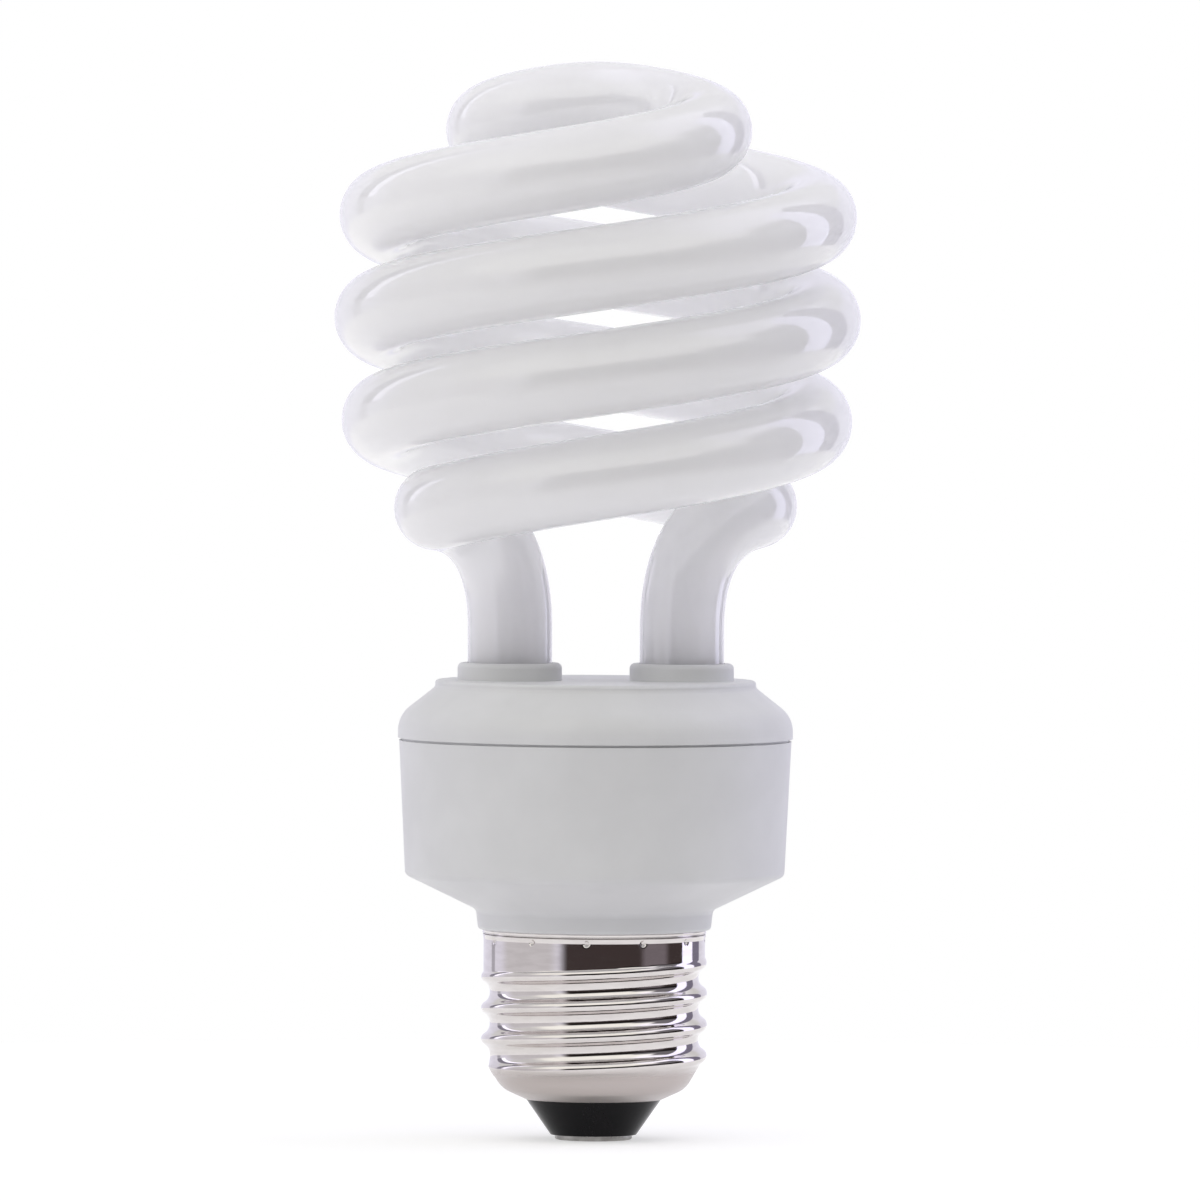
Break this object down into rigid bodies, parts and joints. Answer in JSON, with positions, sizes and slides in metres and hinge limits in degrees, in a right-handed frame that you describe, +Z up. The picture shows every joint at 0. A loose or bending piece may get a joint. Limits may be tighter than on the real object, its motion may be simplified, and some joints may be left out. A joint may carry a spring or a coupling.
{
  "type": "spiral energy saving bulb",
  "caption": "Compact fluorescent lamp: white glass double spiral on a moulded ballast housing with a screw cap.",
  "frame": {"origin": "middle of the tip contact's lower face, on the lamp's axis", "axes": "+Z up the lamp's axis from the screw cap to the glass, +X through the tube's two legs"},
  "size_m": [0.061, 0.061, 0.125],
  "materials": {
    "coated_glass": "white coated glass, glossy outside",
    "white_moulding": "satin moulded plastic",
    "nickel_plate": "bright nickel plate",
    "black_glass": "polished black glass",
    "contact_metal": "tinned sheet",
    "cement": "dull cement",
    "board_laminate": "bare laminate",
    "solder": "bright solder",
    "capacitor_sleeve": "shrunk sleeve",
    "ferrite": "dull ferrite",
    "bobbin_plastic": "moulded plastic",
    "copper_winding": "enamelled copper wire",
    "black_epoxy": "moulded epoxy",
    "film_coating": "dipped coating",
    "diode_glass": "glass with tinned ends",
    "resistor_sleeve": "shrunk sleeve",
    "wire_sleeve": "insulated wire",
    "chip_ceramic": "coated chip",
    "post_metal": "tinned wire"
  },
  "bodies": {
    "root": {"ballast_housing": "white_moulding", "base_insulator": "black_glass", "bulk_capacitor": "capacitor_sleeve", "centre_contact": "contact_metal", "chip_resistor_1": "chip_ceramic", "chip_resistor_2": "chip_ceramic", "chip_resistor_3": "chip_ceramic", "chip_resistor_4": "chip_ceramic", "choke_bobbin": "bobbin_plastic", "choke_core": "ferrite", "choke_winding": "copper_winding", "circuit_board": "board_laminate", "coupling_capacitor": "film_coating", "diac": "diode_glass", "discharge_tube": "coated_glass", "feedback_ring": "ferrite", "feedback_windings": "copper_winding", "filament_lead_1": "post_metal", "filament_lead_2": "post_metal", "filament_lead_3": "post_metal", "filament_lead_4": "post_metal", "filter_choke_core": "ferrite", "filter_choke_winding": "copper_winding", "fusible_resistor": "resistor_sleeve", "line_lead": "wire_sleeve", "rectifier_diode_1": "black_epoxy", "rectifier_diode_2": "black_epoxy", "rectifier_diode_3": "black_epoxy", "rectifier_diode_4": "black_epoxy", "resonant_capacitor": "film_coating", "screw_shell": "nickel_plate", "shell_lead": "wire_sleeve", "solder_joints": "solder", "start_capacitor": "film_coating", "tip_solder": "solder", "transistor_1": "black_epoxy", "transistor_2": "black_epoxy", "tube_cement_1": "cement", "tube_cement_2": "cement", "tube_cover": "white_moulding", "wrap_post_1": "post_metal", "wrap_post_2": "post_metal", "wrap_post_3": "post_metal", "wrap_post_4": "post_metal"}
  },
  "joints": []
}
